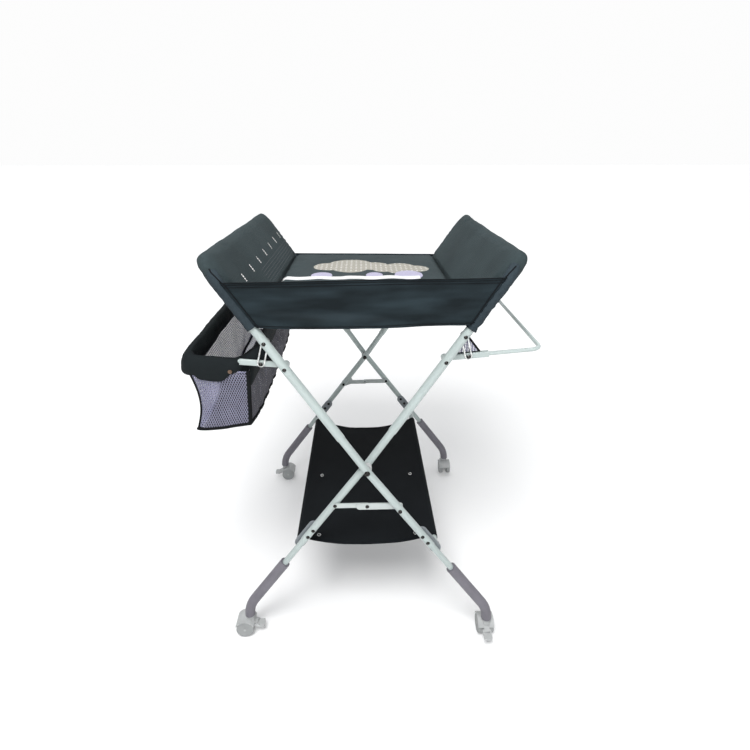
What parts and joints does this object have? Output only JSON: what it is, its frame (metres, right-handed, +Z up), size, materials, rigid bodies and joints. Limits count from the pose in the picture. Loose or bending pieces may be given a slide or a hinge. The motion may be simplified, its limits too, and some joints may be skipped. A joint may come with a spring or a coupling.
{
  "type": "folding changing table",
  "caption": "Folding baby changing table with crossed tube frames, a padded fabric top, a shelf sling, a mesh basket, a towel rail and braked casters.",
  "frame": {"origin": "floor point under the middle of the bounding box", "axes": "+X along the table away from the basket, +Y from front to rear, +Z up"},
  "size_m": [0.8106, 0.749, 1],
  "materials": {
    "frame_paint": "satin light grey powder coat",
    "rivet_steel": "darkened domed rivets",
    "stay_wire": "zinc plated wire",
    "foot_plastic": "moulded grey sleeve with a fine grain",
    "bracket_plastic": "moulded grey",
    "caster_plastic": "moulded light grey",
    "wheel_plastic": "moulded grey tread",
    "dark_fabric": "plain woven polyester, charcoal",
    "pad_fabric": "plain woven polyester with a printed band",
    "mesh_fabric": "open knitted mesh, grey lavender"
  },
  "bodies": {
    "outer_frame": {"outer_hoop": "frame_paint", "outer_leg_ends": "frame_paint", "outer_shelf_bar": "frame_paint", "outer_shelf_brackets": "bracket_plastic", "outer_frame_rivets": "rivet_steel", "outer_front_leg": "frame_paint", "outer_front_foot": "foot_plastic", "outer_rear_leg": "frame_paint", "outer_rear_foot": "foot_plastic", "frame_pivots": "rivet_steel", "pivot_spacers": "caster_plastic", "left_end_panel": "dark_fabric", "front_apron": "dark_fabric", "rear_apron": "dark_fabric", "centre_pad": "pad_fabric", "shelf_sling": "dark_fabric"},
    "inner_frame": {"inner_hoop": "frame_paint", "inner_leg_ends": "frame_paint", "inner_shelf_bar": "frame_paint", "inner_shelf_brackets": "bracket_plastic", "inner_frame_rivets": "rivet_steel", "inner_front_leg": "frame_paint", "inner_front_foot": "foot_plastic", "inner_rear_leg": "frame_paint", "inner_rear_foot": "foot_plastic", "right_end_panel": "dark_fabric"},
    "front_brace_left": {"front_brace_left_link": "frame_paint"},
    "front_brace_right": {"front_brace_right_link": "frame_paint", "front_brace_pin": "rivet_steel"},
    "rear_brace_left": {"rear_brace_left_link": "frame_paint"},
    "rear_brace_right": {"rear_brace_right_link": "frame_paint", "rear_brace_pin": "rivet_steel"},
    "basket_side": {"basket_front_arm": "frame_paint", "basket_rear_arm": "frame_paint", "basket_rail": "frame_paint", "basket_arm_rivets": "rivet_steel", "basket_rim": "dark_fabric", "basket_bag": "mesh_fabric", "basket_snaps": "rivet_steel"},
    "basket_stay_pair": {"basket_stays": "stay_wire"},
    "towel_side": {"towel_front_arm": "frame_paint", "towel_rear_arm": "frame_paint", "towel_rail": "frame_paint", "towel_arm_rivets": "rivet_steel", "towel_gussets": "mesh_fabric"},
    "towel_stay_pair": {"towel_stays": "stay_wire"},
    "front_left_caster_turn": {"front_left_caster": "caster_plastic"},
    "front_left_wheel_pair": {"front_left_caster_wheels": "wheel_plastic"},
    "front_left_brake_pedal": {"front_left_caster_pedal": "caster_plastic"},
    "rear_left_caster_turn": {"rear_left_caster": "caster_plastic"},
    "rear_left_wheel_pair": {"rear_left_caster_wheels": "wheel_plastic"},
    "rear_left_brake_pedal": {"rear_left_caster_pedal": "caster_plastic"},
    "front_right_caster_turn": {"front_right_caster": "caster_plastic"},
    "front_right_wheel_pair": {"front_right_caster_wheels": "wheel_plastic"},
    "front_right_brake_pedal": {"front_right_caster_pedal": "caster_plastic"},
    "rear_right_caster_turn": {"rear_right_caster": "caster_plastic"},
    "rear_right_wheel_pair": {"rear_right_caster_wheels": "wheel_plastic"},
    "rear_right_brake_pedal": {"rear_right_caster_pedal": "caster_plastic"}
  },
  "joints": [
    {"name": "frame_fold", "type": "hinge", "parent": "outer_frame", "child": "inner_frame", "pos_m": [0.00284, 0, 0.49], "axis": [0, -1, 0], "range_deg": [0, 56], "deforming": ["centre_pad", "front_apron", "rear_apron", "shelf_sling"]},
    {"name": "front_brace_left_fold", "type": "hinge", "parent": "inner_frame", "child": "front_brace_left", "pos_m": [-0.07413, -0.325, 0.38598], "axis": [0, -1, 0], "range_deg": [0, 47.6]},
    {"name": "front_brace_right_fold", "type": "hinge", "parent": "outer_frame", "child": "front_brace_right", "pos_m": [0.07981, -0.325, 0.38598], "axis": [0, 1, 0], "range_deg": [0, 47.6]},
    {"name": "rear_brace_left_fold", "type": "hinge", "parent": "inner_frame", "child": "rear_brace_left", "pos_m": [-0.07413, 0.325, 0.38598], "axis": [0, -1, 0], "range_deg": [0, 47.6]},
    {"name": "rear_brace_right_fold", "type": "hinge", "parent": "outer_frame", "child": "rear_brace_right", "pos_m": [0.07981, 0.325, 0.38598], "axis": [0, 1, 0], "range_deg": [0, 47.6]},
    {"name": "basket_fold", "type": "hinge", "parent": "outer_frame", "child": "basket_side", "pos_m": [-0.17386, 0, 0.75198], "axis": [0, 1, 0], "range_deg": [0, 30]},
    {"name": "basket_stay_swing", "type": "hinge", "parent": "outer_frame", "child": "basket_stay_pair", "pos_m": [-0.2144, 0, 0.81208], "axis": [0, 1, 0], "range_deg": [-3.6, 0]},
    {"name": "towel_fold", "type": "hinge", "parent": "inner_frame", "child": "towel_side", "pos_m": [0.17955, 0, 0.75198], "axis": [0, -1, 0], "range_deg": [0, 30], "deforming": ["towel_gussets"]},
    {"name": "towel_stay_swing", "type": "hinge", "parent": "inner_frame", "child": "towel_stay_pair", "pos_m": [0.22009, 0, 0.81208], "axis": [0, -1, 0], "range_deg": [-3.6, 0]},
    {"name": "front_left_swivel", "type": "hinge", "parent": "inner_frame", "child": "front_left_caster_turn", "pos_m": [-0.29916, -0.3115, 0.054], "axis": [0, 0, 1], "continuous": true},
    {"name": "front_left_wheel_roll", "type": "hinge", "parent": "front_left_caster_turn", "child": "front_left_wheel_pair", "pos_m": [-0.31116, -0.3115, 0.022], "axis": [0, -1, 0], "continuous": true},
    {"name": "front_left_brake", "type": "hinge", "parent": "front_left_caster_turn", "child": "front_left_brake_pedal", "pos_m": [-0.28416, -0.3115, 0.027], "axis": [0, 1, 0], "range_deg": [0, 15]},
    {"name": "rear_left_swivel", "type": "hinge", "parent": "inner_frame", "child": "rear_left_caster_turn", "pos_m": [-0.29916, 0.3115, 0.054], "axis": [0, 0, 1], "continuous": true},
    {"name": "rear_left_wheel_roll", "type": "hinge", "parent": "rear_left_caster_turn", "child": "rear_left_wheel_pair", "pos_m": [-0.28716, 0.3115, 0.022], "axis": [0, 1, 0], "continuous": true},
    {"name": "rear_left_brake", "type": "hinge", "parent": "rear_left_caster_turn", "child": "rear_left_brake_pedal", "pos_m": [-0.31416, 0.3115, 0.027], "axis": [0, -1, 0], "range_deg": [0, 15]},
    {"name": "front_right_swivel", "type": "hinge", "parent": "outer_frame", "child": "front_right_caster_turn", "pos_m": [0.30484, -0.3385, 0.054], "axis": [0, 0, 1], "continuous": true},
    {"name": "front_right_wheel_roll", "type": "hinge", "parent": "front_right_caster_turn", "child": "front_right_wheel_pair", "pos_m": [0.30484, -0.3265, 0.022], "axis": [-1, 0, 0], "continuous": true},
    {"name": "front_right_brake", "type": "hinge", "parent": "front_right_caster_turn", "child": "front_right_brake_pedal", "pos_m": [0.30484, -0.3535, 0.027], "axis": [1, 0, 0], "range_deg": [0, 15]},
    {"name": "rear_right_swivel", "type": "hinge", "parent": "outer_frame", "child": "rear_right_caster_turn", "pos_m": [0.30484, 0.3385, 0.054], "axis": [0, 0, 1], "continuous": true},
    {"name": "rear_right_wheel_roll", "type": "hinge", "parent": "rear_right_caster_turn", "child": "rear_right_wheel_pair", "pos_m": [0.30484, 0.3265, 0.022], "axis": [1, 0, 0], "continuous": true},
    {"name": "rear_right_brake", "type": "hinge", "parent": "rear_right_caster_turn", "child": "rear_right_brake_pedal", "pos_m": [0.30484, 0.3535, 0.027], "axis": [-1, 0, 0], "range_deg": [0, 15]}
  ],
  "couplings": [
    {"joint": "front_brace_left_fold", "follows": "frame_fold", "ratio": 0.85},
    {"joint": "front_brace_right_fold", "follows": "frame_fold", "ratio": 0.85},
    {"joint": "rear_brace_left_fold", "follows": "frame_fold", "ratio": 0.85},
    {"joint": "rear_brace_right_fold", "follows": "frame_fold", "ratio": 0.85},
    {"joint": "basket_stay_swing", "follows": "basket_fold", "ratio": -0.12},
    {"joint": "towel_stay_swing", "follows": "towel_fold", "ratio": -0.12}
  ]
}
